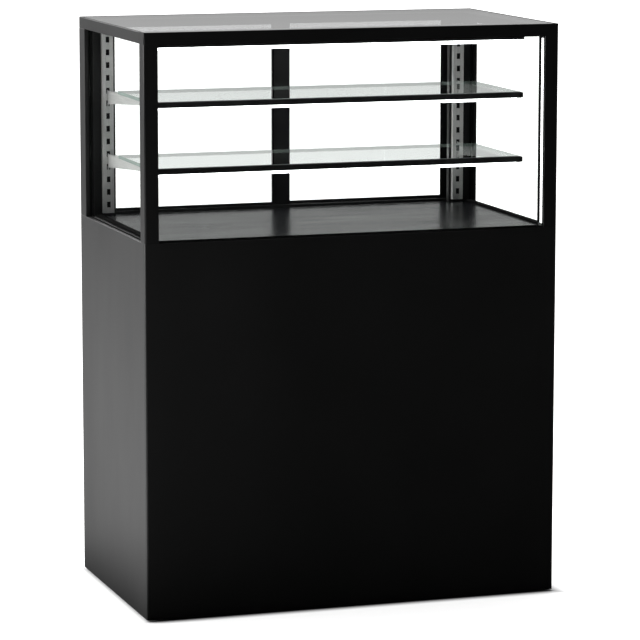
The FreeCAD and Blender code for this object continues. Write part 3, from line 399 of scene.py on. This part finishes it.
BLACK = (0.0024, 0.0024, 0.0025)
EDGE_GREEN = (0.10, 0.17, 0.15)
EDGE_PALE = (0.40, 0.47, 0.44)
EDGE_DARK = (0.008, 0.012, 0.011)
CLEAR_TINT = (0.985, 0.992, 0.988)
SHELF_TINT = (0.955, 0.975, 0.965)
FINISHES = {
    "frame_black": powder_coat("frame_black", BLACK, 0.48, wear=4.0, Specular_IOR_Level=0.4),
    "panel_black": powder_coat("panel_black", BLACK, 0.5, wear=4.0),
    "trim_black": powder_coat("trim_black", (0.006, 0.006, 0.0065), 0.36, peel=0.01 * MM, wear=3.0,
                              Specular_IOR_Level=0.3),
    "deck_black": glossy_enamel("deck_black", (0.006, 0.006, 0.007), 0.24, coat=0.0,
                                Specular_IOR_Level=0.12),
    "standard_steel": brushed_metal("standard_steel", (0.70, 0.69, 0.68), 0.34, along=2, metallic=0.5),
    "galvanised": galvanised_sheet("galvanised", (0.50, 0.51, 0.52), 0.38),
    "foot_black": moulded_plastic("foot_black", (0.015, 0.015, 0.015), 0.6, grain=0.06 * MM),
    "control_plastic": moulded_plastic("control_plastic", (0.018, 0.018, 0.02), 0.5),
    "key_plastic": moulded_plastic("key_plastic", (0.10, 0.10, 0.11), 0.35),
    "rocker_plastic": moulded_plastic("rocker_plastic", (0.02, 0.24, 0.06), 0.25, grain=0.01 * MM,
                                      Emission_Color=(0.05, 0.8, 0.15, 1.0), Emission_Strength=0.12),
    "tub_steel": brushed_metal("tub_steel", (0.55, 0.56, 0.57), 0.4, along=0, metallic=0.9),
    "coil_aluminium": brushed_metal("coil_aluminium", (0.70, 0.71, 0.72), 0.35, along=2),
    "fan_aluminium": brushed_metal("fan_aluminium", (0.60, 0.61, 0.62), 0.38, along=0),
    "motor_black": powder_coat("motor_black", (0.03, 0.03, 0.033), 0.45),
    "compressor_black": glossy_enamel("compressor_black", (0.012, 0.012, 0.014), 0.22),
    "copper": drawn_copper("copper", (0.72, 0.36, 0.22), 0.2),
    "tray_plastic": moulded_plastic("tray_plastic", (0.16, 0.16, 0.17), 0.55),
    "screw_steel": brushed_metal("screw_steel", (0.60, 0.60, 0.61), 0.25, along=0),
}
OWN_FINISHES = {
    "shelf_brackets": brushed_metal("bracket_steel", (0.66, 0.66, 0.65), 0.42, along=1, metallic=0.5,
                                    relief=0.001 * MM),
    "front_glass": pane("front_pane", 1, CLEAR_TINT, EDGE_GREEN),
    "left_side_glass": pane("left_pane", 0, CLEAR_TINT, EDGE_DARK, coating=0.35),
    "right_side_glass": pane("right_pane", 0, CLEAR_TINT, EDGE_DARK, coating=0.03),
    "left_door_glass": pane("left_door_pane", 1, CLEAR_TINT, EDGE_GREEN, coating=0.25),
    "right_door_glass": pane("right_door_pane", 1, CLEAR_TINT, EDGE_GREEN, coating=0.25),
    "top_glass": pane("top_pane", 2, (0.80, 0.805, 0.81), (0.02, 0.025, 0.025)),
    "upper_shelf_glass": pane("upper_shelf_pane", 2, SHELF_TINT, EDGE_PALE, smudge=0.015),
    "lower_shelf_glass": pane("lower_shelf_pane", 2, SHELF_TINT, EDGE_PALE, smudge=0.015),
}


def dress_frame():
    """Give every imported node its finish."""
    for part in frame["record"]["subparts"]:
        node = nodes[part["node"]]
        finish = OWN_FINISHES.get(part["node"]) or FINISHES[part["material_slot"]]
        for material_slot in node.material_slots:
            material_slot.material = finish


# Rounding of the edges in millimetres, by the first of these words that a node's name has.
EDGE_WIDTHS = {"panel": 0.7, "post": 0.8, "top_rail": 1.6, "rail": 0.8, "header": 0.8, "sill": 0.8,
               "housing": 0.8, "trim": 1.2, "frame": 0.8, "thermostat": 0.6, "inlet": 0.5, "tray": 0.8}


def soften_edges():
    """Break the sharp edges of the sheet and bar pieces that the eye meets."""
    for name, node in nodes.items():
        width = next((reach * MM for word, reach in EDGE_WIDTHS.items() if word in name), None)
        if width is None:
            continue
        weld = node.modifiers.new("weld", "WELD")
        weld.merge_threshold = 0.01 * MM
        bevel = node.modifiers.new("bevel", "BEVEL")
        bevel.width, bevel.segments = width, 2
        bevel.limit_method, bevel.angle_limit = "ANGLE", math.radians(40)
        bevel.harden_normals, bevel.loop_slide = True, False


# ---------------------------------------------------------------------- mesh helpers
def piece(name, shape, body, material, smooth=False):
    """Turn a bmesh into a piece that rides on a body."""
    mesh = bpy.data.meshes.new(name)
    bmesh.ops.recalc_face_normals(shape, faces=shape.faces)
    shape.to_mesh(mesh)
    shape.free()
    for face in mesh.polygons:
        face.use_smooth = smooth
    mesh.materials.append(material)
    made = bpy.data.objects.new(name, mesh)
    bpy.context.scene.collection.objects.link(made)
    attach(made, body)


def bar(shape, low, high, round_off):
    """Add a block with rounded edges between two corners to a bmesh."""
    low, high = Vector(low), Vector(high)
    matrix = Matrix.Translation((low + high) / 2) @ Matrix.Diagonal((*(high - low), 1.0))
    made = bmesh.ops.create_cube(shape, size=1.0, matrix=matrix)
    corners = set(made["verts"])
    edges = [e for e in shape.edges if e.verts[0] in corners and e.verts[1] in corners]
    bmesh.ops.bevel(shape, geom=edges, offset=round_off, segments=3, profile=0.5,
                    affect="EDGES", clamp_overlap=True)


def ordered(first, second):
    """Two corners with their coordinates sorted into lowest and highest."""
    return [tuple(pick(a, b) for a, b in zip(first, second)) for pick in (min, max)]


def bars(name, spans, body, material, round_off=0.5 * MM):
    """One piece made of several rounded bars, each given by two opposite corners."""
    shape = bmesh.new()
    for first, second in spans:
        low, high = ordered(first, second)
        bar(shape, low, high, round_off)
    piece(name, shape, body, material)


def walls(shape, lower, upper):
    """Join two loops with the same number of points by a band of four-sided faces."""
    count = len(lower)
    for i in range(count):
        after = (i + 1) % count
        shape.faces.new((lower[i], lower[after], upper[after], upper[i]))


def plate(shape, outline, place, thick):
    """Add a flat plate to a bmesh: an outline in the X and Y of a matrix, raised along its Z."""
    lower, upper = ([shape.verts.new(place @ Vector((u, v, level))) for u, v in outline]
                    for level in (-0.05 * MM, thick))
    shape.faces.new(upper)
    shape.faces.new(lower[::-1])
    walls(shape, lower, upper)


def circle(shape, radius, level, place, segments):
    """Points of a circle about a matrix's Z, at a height along it."""
    turns = (2 * math.pi * i / segments for i in range(segments))
    return [shape.verts.new(place @ Vector((radius * math.cos(a), radius * math.sin(a), level)))
            for a in turns]


def extrude(shape, profile, start, end):
    """Add a closed profile in Y and Z to a bmesh, drawn out along X."""
    first, second = ([shape.verts.new((x, y, z)) for y, z in profile] for x in (start, end))
    walls(shape, first, second)
    shape.faces.new(first)
    shape.faces.new(second[::-1])


def ring(shape, outer, inner, place, thick):
    """Add a flat ring to a bmesh, as a loop of bands."""
    corners = ((outer, 0.0), (outer, thick), (inner, thick), (inner, 0.0))
    loops = [circle(shape, radius, level, place, 28) for radius, level in corners]
    for first, second in zip(loops, loops[1:] + loops[:1]):
        walls(shape, first, second)


def oblong(half_wide, half_tall, u=0.0, v=0.0):
    """The corners of an oblong about a point."""
    return [(u - half_wide, v - half_tall), (u + half_wide, v - half_tall),
            (u + half_wide, v + half_tall), (u - half_wide, v + half_tall)]


def facing(normal, centre):
    """A matrix on a face that looks towards the staff side: X to the reader's right, Y up, Z outwards."""
    right = Vector((-1.0, 0.0, 0.0))
    up = normal.cross(right).normalized()
    matrix = Matrix((right, up, normal)).transposed().to_4x4()
    matrix.translation = centre
    return matrix


def flat_spans(name, axis, sign):
    """The extents of a node's flat faces that look one way along an axis, as pairs of corners."""
    mesh = nodes[name].data
    spans = set()
    for face in mesh.polygons:
        if face.normal[axis] * sign > 0.999:
            points = [mesh.vertices[i].co for i in face.vertices]
            spans.add(tuple(tuple(round(pick(point[i] for point in points), 5) for i in range(3))
                            for pick in (min, max)))
    return sorted(spans)


# --------------------------------------------------------------------- detail pieces
RUBBER = moulded_plastic("rubber", (0.006, 0.006, 0.006), 0.8, grain=0.02 * MM, Specular_IOR_Level=0.01)
STEEL_TRIM = brushed_metal("steel_trim", (0.58, 0.58, 0.59), 0.3, along=2)
LAMP_OPAL = lit_opal("lamp_opal", (0.9, 0.9, 0.9), 7.0)
SHELF_OPAL = lit_opal("shelf_opal", (0.9, 0.9, 0.9), 5.0)
POST_OPAL = lit_opal("post_opal", (0.9, 0.9, 0.9), 2.5)
MARK_THICK, SEGMENT_THICK = 0.15 * MM, 0.12 * MM


def lights():
    """The opal covers of the lamp, the shelf trims and the post strips, and the seals beside the strips."""
    low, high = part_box("top_light_housing")
    inset, drop = 9 * MM, 8 * MM
    bars("lamp_cover", [((low.x + inset, low.y + inset, low.z - drop),
                         (high.x - inset, high.y - inset, low.z + 6 * MM))],
         "cabinet", LAMP_OPAL, round_off=4 * MM)
    for shelf in ("upper_shelf", "lower_shelf"):
        low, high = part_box(shelf + "_trim")
        bars(shelf + "_light", [((low.x + 9 * MM, low.y + 2.5 * MM, low.z - 6.5 * MM),
                                 (high.x - 9 * MM, low.y + 16 * MM, low.z))],
             shelf, SHELF_OPAL, round_off=2.5 * MM)
    glass_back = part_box("front_glass")[1].y
    for side, sign in SIDES.items():
        low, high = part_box("front_%s_post" % side)
        inner = low.x if side == "right" else high.x
        bars(side + "_post_light", [((inner, glass_back + 0.7 * MM, low.z + 9 * MM),
                                     (inner - sign * 1.6 * MM, high.y - 17 * MM, high.z - 7 * MM))],
             "cabinet", POST_OPAL, round_off=0.6 * MM)
        bars(side + "_post_seal", [((inner, high.y - 16.8 * MM, low.z + 9 * MM),
                                    (inner - sign * 1.8 * MM, high.y - 0.2 * MM, high.z))],
             "cabinet", RUBBER, round_off=0.7 * MM)


def seals():
    """Rubber beads along the fixed glass and the curb between the deck and each side glass."""
    front_low, front_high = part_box("front_glass")
    post_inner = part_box("front_right_post")[0].x
    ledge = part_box("front_panel")[1].z
    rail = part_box("top_rail_front")[0].z
    bead = 2.2 * MM
    bars("front_glass_seal", [
        ((-post_inner, front_high.y, ledge), (post_inner, front_high.y + bead, ledge + bead)),
        ((-post_inner, front_high.y, rail - bead), (post_inner, front_high.y + bead, rail)),
        ((-post_inner, front_low.y, ledge), (post_inner, front_low.y - bead, ledge + bead)),
        ((-post_inner, front_low.y, rail - bead), (post_inner, front_low.y - bead, rail)),
    ], "cabinet", RUBBER, round_off=0.9 * MM)
    for side, sign in SIDES.items():
        low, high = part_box(side + "_side_glass")
        front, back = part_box("front_%s_post" % side)[1].y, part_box("rear_%s_post" % side)[0].y
        outer, inner = (high.x, low.x) if side == "right" else (low.x, high.x)
        spans = []
        for face, way in ((outer, sign), (inner, -sign)):
            proud = face + way * bead
            spans += [((face, front, ledge), (proud, back, ledge + bead)),
                      ((face, front, rail - bead), (proud, back, rail)),
                      ((face, front, ledge), (proud, front + bead, rail)),
                      ((face, back - bead, ledge), (proud, back, rail))]
        bars(side + "_glass_seal", spans, "cabinet", RUBBER, round_off=0.9 * MM)
        bars(side + "_deck_curb", [((sign * post_inner, front + 1 * MM, ledge),
                                    (inner - sign * 2.6 * MM, back - 14 * MM, ledge + 8 * MM))],
             "cabinet", RUBBER, round_off=1.5 * MM)


def end_caps():
    """Rounded caps on the lit shelf trims and the lamp housing."""
    for shelf in ("upper_shelf", "lower_shelf"):
        low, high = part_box(shelf + "_trim")
        spans = [((sign * high.x, low.y + 0.4 * MM, low.z + 0.4 * MM),
                  (sign * (high.x + 5 * MM), high.y - 0.6 * MM, high.z - 0.4 * MM))
                 for sign in SIDES.values()]
        bars(shelf + "_trim_caps", spans, shelf, FINISHES["trim_black"], round_off=4.5 * MM)
    low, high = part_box("top_light_housing")
    spans = [((sign * high.x, low.y, low.z), (sign * (high.x + 3 * MM), high.y, high.z))
             for sign in SIDES.values()]
    bars("lamp_end_caps", spans, "cabinet", FINISHES["trim_black"], round_off=1.4 * MM)


def rail_plugs():
    """Moulded plugs in the rear ends of the deck rails, flush with the sill beside them."""
    spans = []
    plastic = FINISHES["control_plastic"]
    for side, sign in SIDES.items():
        low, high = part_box("deck_rail_" + side)
        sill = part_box("rear_sill")[1]
        inner, outer = sorted((abs(low.x), abs(high.x)))
        wall, back = 2.4 * MM, sill.y - 0.6 * MM
        spans += [((sign * (outer - 0.3 * MM), high.y + 0.1 * MM, low.z + 0.3 * MM),
                   (sign * (sill.x + 0.3 * MM), back, high.z - 0.3 * MM)),
                  ((sign * (outer - wall), high.y - 12 * MM, low.z + wall),
                   (sign * (inner + wall), high.y + 1 * MM, high.z - wall))]
    bars("deck_rail_plugs", spans, "cabinet", plastic, round_off=1.0 * MM)


DISPLAY_GLASS = glossy_enamel("display_glass", (0.006, 0.004, 0.004), 0.06)
DISPLAY_LIT = moulded_plastic("display_lit", (0.5, 0.08, 0.05), 0.4, Emission_Color=(1.0, 0.12, 0.05, 1.0),
                              Emission_Strength=1.3)
DISPLAY_UNLIT = moulded_plastic("display_unlit", (0.035, 0.010, 0.009), 0.4)
MARK_WHITE = moulded_plastic("mark_white", (0.62, 0.62, 0.60), 0.5)
SEGMENTS = {"a": ((0, 1), (1, 1)), "b": ((1, 1), (1, 0.5)), "c": ((1, 0.5), (1, 0)), "d": ((0, 0), (1, 0)),
            "e": ((0, 0.5), (0, 0)), "f": ((0, 1), (0, 0.5)), "g": ((0, 0.5), (1, 0.5))}
DIGITS = ("bcfg", "abcdef")


def segment(shape, start, end, half, place):
    """One pointed bar of a seven-segment digit."""
    start, end = Vector((*start, 0.0)), Vector((*end, 0.0))
    along = (end - start).normalized()
    across = Vector((-along.y, along.x, 0.0)) * half
    start, end = start + along * half * 0.5, end - along * half * 0.5
    points = [start, start + along * half + across, end - along * half + across, end,
              end - along * half - across, start + along * half - across]
    plate(shape, [(point.x, point.y) for point in points], place, SEGMENT_THICK)


def display():
    """The controller's dark window with its two digits, point and running light."""
    low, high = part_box("thermostat")
    window = next(span for span in flat_spans("thermostat", 1, 1)
                  if span[1][0] - span[0][0] > 20 * MM and abs(span[0][1] - high.y + 0.6 * MM) < 0.1 * MM)
    (left, level, bottom), (right, _, top) = window
    face, gap = level + 0.35 * MM, 0.2 * MM
    bars("display_glass", [((left + gap, level, bottom + gap), (right - gap, face, top - gap))],
         "cabinet", DISPLAY_GLASS, round_off=0.15 * MM)
    place = facing(STAFFWARD, Vector(((left + right) / 2, face, (bottom + top) / 2)))
    wide, tall, half, pitch = 6.0 * MM, 11.0 * MM, 0.65 * MM, 10.5 * MM
    lit, unlit = bmesh.new(), bmesh.new()
    for i, digit in enumerate(DIGITS):
        corner = Vector(((i - 0.5) * pitch - wide / 2, -tall / 2))
        for name, ends in SEGMENTS.items():
            start, end = ((corner.x + u * wide, corner.y + v * tall) for u, v in ends)
            segment(lit if name in digit else unlit, start, end, half, place)
    for u, v in ((0.0, -tall / 2), (-14.5 * MM, tall / 2)):
        plate(lit, oblong(half, half, u, v), place, SEGMENT_THICK)
    piece("display_lit", lit, "cabinet", DISPLAY_LIT)
    piece("display_unlit", unlit, "cabinet", DISPLAY_UNLIT)


def key_marks():
    """Small moulded marks: arrows and a square on the keys, a bar and a ring on the rockers."""
    arrow = [(-1.9 * MM, -1.3 * MM), (1.9 * MM, -1.3 * MM), (0.0, 1.9 * MM)]
    outlines = {"up": arrow, "down": [(-u, -v) for u, v in arrow], "set": oblong(1.4 * MM, 1.4 * MM)}
    for name, outline in outlines.items():
        low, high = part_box("button_" + name)
        centre = Vector(((low.x + high.x) / 2, high.y, (low.z + high.z) / 2))
        shape = bmesh.new()
        plate(shape, outline, facing(STAFFWARD, centre), MARK_THICK)
        piece(name + "_key_mark", shape, name + "_key", MARK_WHITE)
    for name in ("power", "light"):
        mesh = nodes[name + "_switch"].data
        halves = {}
        for face in mesh.polygons:
            if face.normal.y > 0.8:
                halves.setdefault(round(face.normal.z, 2), []).append(face)
        shape = bmesh.new()
        for faces in halves.values():
            area = sum(face.area for face in faces)
            centre = sum((face.center * face.area for face in faces), Vector()) / area
            place = facing(faces[0].normal.copy(), centre)
            if centre.z > sum(corner.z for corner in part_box(name + "_switch")) / 2:
                plate(shape, oblong(0.5 * MM, 2.2 * MM), place, MARK_THICK)
            else:
                ring(shape, 2.4 * MM, 1.6 * MM, place, MARK_THICK)
        piece(name + "_rocker_marks", shape, name + "_rocker", MARK_WHITE)


def louvres():
    """A pressed hood over every air slot of the service panel."""
    low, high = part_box("rear_service_panel")
    bottom, root = low.z, high.y - 0.1 * MM
    shape = bmesh.new()
    steps, reach, drop, sheet, margin = 6, 3.0 * MM, 7.0 * MM, 0.8 * MM, 1.5 * MM
    for (left, _, top), (right, _, _) in flat_spans("rear_service_panel", 2, -1):
        if top - bottom < 2 * MM:
            continue
        profile = []
        for out, fall in ((reach, drop), (reach - sheet, drop)):
            turns = [math.pi / 2 * i / steps for i in range(steps + 1)]
            crest = top + margin - (reach - out)
            run = [(root + out * math.sin(a), crest - fall * (1 - math.cos(a))) for a in turns]
            profile += run if out == reach else run[::-1]
        extrude(shape, profile, left - margin, right + margin)
        cheek = profile[:steps + 1] + [(root, profile[steps][1])]
        for x in (left - margin, right + margin - sheet):
            extrude(shape, cheek, x, x + sheet)
    piece("service_panel_louvres", shape, "cabinet", FINISHES["panel_black"])


def door_furniture():
    """Finger-pull cups, glazing beads and the meeting brush of the sliding doors."""
    for side in SIDES:
        low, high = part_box(side + "_door_frame")
        back, front = high.y, low.y
        cup = next(span for span in flat_spans(side + "_door_frame", 1, 1)
                   if abs(span[0][1] - back + 5 * MM) < 0.2 * MM and span[1][0] - span[0][0] < 20 * MM)
        (x0, floor, z0), (x1, _, z1) = cup
        rim, lift = 2.4 * MM, back + 1.2 * MM
        bars(side + "_door_pull", [
            ((x0 - rim, back - 1 * MM, z0 - rim), (x0 + 1 * MM, lift, z1 + rim)),
            ((x1 - 1 * MM, back - 1 * MM, z0 - rim), (x1 + rim, lift, z1 + rim)),
            ((x0, back - 1 * MM, z0 - rim), (x1, lift, z0 + 1 * MM)),
            ((x0, back - 1 * MM, z1 - 1 * MM), (x1, lift, z1 + rim)),
            ((x0, floor, z0), (x1, floor + 0.8 * MM, z1)),
        ], side + "_door", STEEL_TRIM, round_off=0.4 * MM)
        low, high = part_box(side + "_door_glass")
        tucked, bead = 5 * MM, 2.0 * MM
        left, right, bottom, top = low.x + tucked, high.x - tucked, low.z + tucked, high.z - tucked
        spans = []
        for near, far in ((front + 0.5 * MM, low.y), (high.y, back - 0.5 * MM)):
            spans += [((left, near, bottom), (left + bead, far, top)),
                      ((right - bead, near, bottom), (right, far, top)),
                      ((left, near, bottom), (right, far, bottom + bead)),
                      ((left, near, top - bead), (right, far, top))]
        bars(side + "_door_beads", spans, side + "_door", RUBBER, round_off=0.5 * MM)
    low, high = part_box("left_door_frame")
    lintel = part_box("rear_header")[0].z
    bars("door_brush", [((high.x - 8 * MM, high.y - 0.2 * MM, low.z + 14 * MM),
                         (high.x - 3 * MM, high.y + 3.3 * MM, lintel - 2 * MM))], "left_door", RUBBER)


def fixings():
    """Pan-head screws in the inlet's flange, each with a cross of black plates as painted shade in its
    slots, and the bead round the top glass.
    """
    low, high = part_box("power_inlet")
    middle, inwards = (low.z + high.z) / 2, 4.5 * MM
    heads, slot_shade = bmesh.new(), bmesh.new()
    dome = ((2.6, 0.0), (2.6, 0.6), (2.2, 1.2), (1.2, 1.6))
    for x in (low.x + inwards, high.x - inwards):
        place = facing(STAFFWARD, Vector((x, high.y - 0.1 * MM, middle)))
        rings = [circle(heads, radius * MM, rise * MM, place, 20) for radius, rise in dome]
        for first, second in zip(rings, rings[1:]):
            walls(heads, first, second)
        tip, last = heads.verts.new(place @ Vector((0.0, 0.0, 1.7 * MM))), rings[-1]
        for near, far in zip(last, last[1:] + last[:1]):
            heads.faces.new((near, far, tip))
        # Each cross slot is a black plate standing just proud of the dome: painted shade where a recess
        # would be.
        for half_wide, half_tall in ((1.5, 0.28), (0.28, 1.5)):
            plate(slot_shade, oblong(half_wide * MM, half_tall * MM), place, 1.74 * MM)
    piece("inlet_screws", heads, "cabinet", FINISHES["screw_steel"], smooth=True)
    piece("inlet_screw_slot_shade", slot_shade, "cabinet", RUBBER)
    low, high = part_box("top_glass")
    rim, gap = 1.2 * MM, 0.5 * MM
    under, top = high.z - 0.4 * MM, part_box("top_rail_front")[1].z - 0.1 * MM
    bars("top_glass_bead", [
        ((low.x - gap, low.y - gap, under), (high.x + gap, low.y + rim, top)),
        ((low.x - gap, high.y - rim, under), (high.x + gap, high.y + gap, top)),
        ((low.x - gap, low.y, under), (low.x + rim, high.y, top)),
        ((high.x - rim, low.y, under), (high.x + gap, high.y, top)),
    ], "cabinet", RUBBER, round_off=0.2 * MM)


# ------------------------------------------------------------------------------ scene
add_camera()
add_world()
add_floor()
add_area("left_softbox", (-3.2, 1.2, 2.2), (0.0, 0.0, 0.7), (2.4, 2.4), 40.0)
add_area("top_softbox", (0.3, 0.9, 3.6), (0.0, 0.0, 0.8), (2.5, 2.5), 60.0)
dress_frame()
soften_edges()
lights()
seals()
end_caps()
rail_plugs()
display()
key_marks()
louvres()
door_furniture()
fixings()

scene = bpy.context.scene
scene.view_settings.view_transform = "Standard"
scene.cycles.transparent_max_bounces = 32
